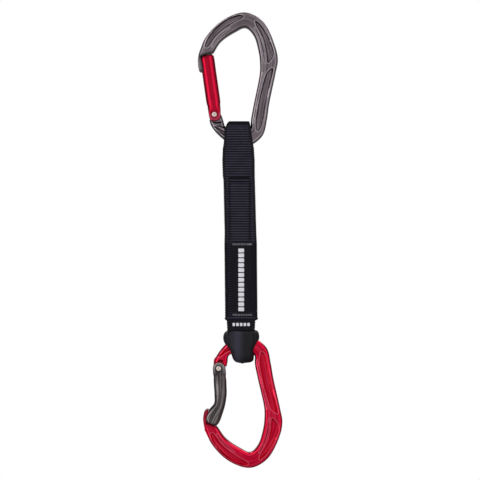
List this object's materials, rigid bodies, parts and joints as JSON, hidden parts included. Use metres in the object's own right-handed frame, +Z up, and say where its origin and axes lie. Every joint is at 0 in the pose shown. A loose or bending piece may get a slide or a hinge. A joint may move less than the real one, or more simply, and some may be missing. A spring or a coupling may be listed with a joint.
{
  "type": "climbing quickdraw",
  "caption": "Two sprung-gate carabiners, one straight gate and one bent gate, joined by a flat sewn nylon sling with a rubber keeper on its lower eye.",
  "frame": {"origin": "the seat inside the top of the upper bow, where a bolt hanger bears", "axes": "+Z up as it hangs, +X towards the spines of both carabiners, Y through their thickness"},
  "size_m": [0.0636, 0.02, 0.3418],
  "materials": {
    "grey_anodised": "satin grey anodised forging",
    "red_anodised": "bright red anodised, satin",
    "rivet_steel": "polished steel",
    "spring_steel": "plain steel",
    "webbing": "ribbed nylon webbing",
    "thread": "twisted black thread",
    "label_thread": "twisted light grey thread",
    "label_satin": "black satin ribbon",
    "label_print": "white woven marks",
    "keeper_rubber": "matt moulded rubber"
  },
  "bodies": {
    "upper_carabiner": {"upper_body": "grey_anodised"},
    "upper_gate_leaf": {"upper_gate": "red_anodised", "upper_rivet": "rivet_steel", "upper_gate_spring": "spring_steel"},
    "upper_pusher": {"upper_plunger": "spring_steel"},
    "sling": {"webbing_upper_eye": "webbing", "webbing_core": "webbing", "bar_stitch_upper_front": "thread", "bar_stitch_lower_front": "thread", "side_seam_left_front": "thread", "side_seam_right_front": "thread", "bar_stitch_upper_back": "thread", "bar_stitch_lower_back": "thread", "side_seam_left_back": "thread", "side_seam_right_back": "thread", "sling_label": "label_satin", "label_seam_top": "label_thread", "label_seam_bottom": "label_thread"},
    "lower_carabiner": {"lower_body": "red_anodised", "rubber_keeper": "keeper_rubber", "webbing_lower_eye": "webbing", "short_label": "label_satin"},
    "lower_gate_leaf": {"lower_gate": "grey_anodised", "lower_rivet": "rivet_steel", "lower_gate_spring": "spring_steel"},
    "lower_pusher": {"lower_plunger": "spring_steel"}
  },
  "joints": [
    {"name": "upper_gate_hinge", "type": "hinge", "parent": "upper_carabiner", "child": "upper_gate_leaf", "pos_m": [-0.0223, 0, -0.0653], "axis": [0, 1, 0], "range_deg": [0, 30], "stiffness_Nm_per_rad": 0.3, "springref_deg": -57.3},
    {"name": "upper_plunger_slide", "type": "slide", "parent": "upper_gate_leaf", "child": "upper_pusher", "axis": [-0.1392, 0, 0.9903], "range_m": [0, 0.0018], "deforming": ["upper_gate_spring"]},
    {"name": "upper_swing", "type": "hinge", "parent": "upper_carabiner", "child": "sling", "pos_m": [-0.0043, 0, -0.097], "axis": [1, 0, 0], "range_deg": [-120, 120], "deforming": ["webbing_upper_eye"]},
    {"name": "lower_swing", "type": "hinge", "parent": "sling", "child": "lower_carabiner", "pos_m": [-0.0021, 0, -0.2225], "axis": [1, 0, 0], "range_deg": [-60, 60], "deforming": ["webbing_lower_eye", "short_label"]},
    {"name": "lower_gate_hinge", "type": "hinge", "parent": "lower_carabiner", "child": "lower_gate_leaf", "pos_m": [-0.01905, 0, -0.2549], "axis": [0, -1, 0], "range_deg": [0, 30], "stiffness_Nm_per_rad": 0.3, "springref_deg": -57.3},
    {"name": "lower_plunger_slide", "type": "slide", "parent": "lower_gate_leaf", "child": "lower_pusher", "axis": [0, 0, -1], "range_m": [0, 0.0018], "deforming": ["lower_gate_spring"]}
  ],
  "couplings": [
    {"joint": "upper_plunger_slide", "follows": "upper_gate_hinge", "m_per_rad": 0.0033},
    {"joint": "lower_plunger_slide", "follows": "lower_gate_hinge", "m_per_rad": 0.0033}
  ]
}
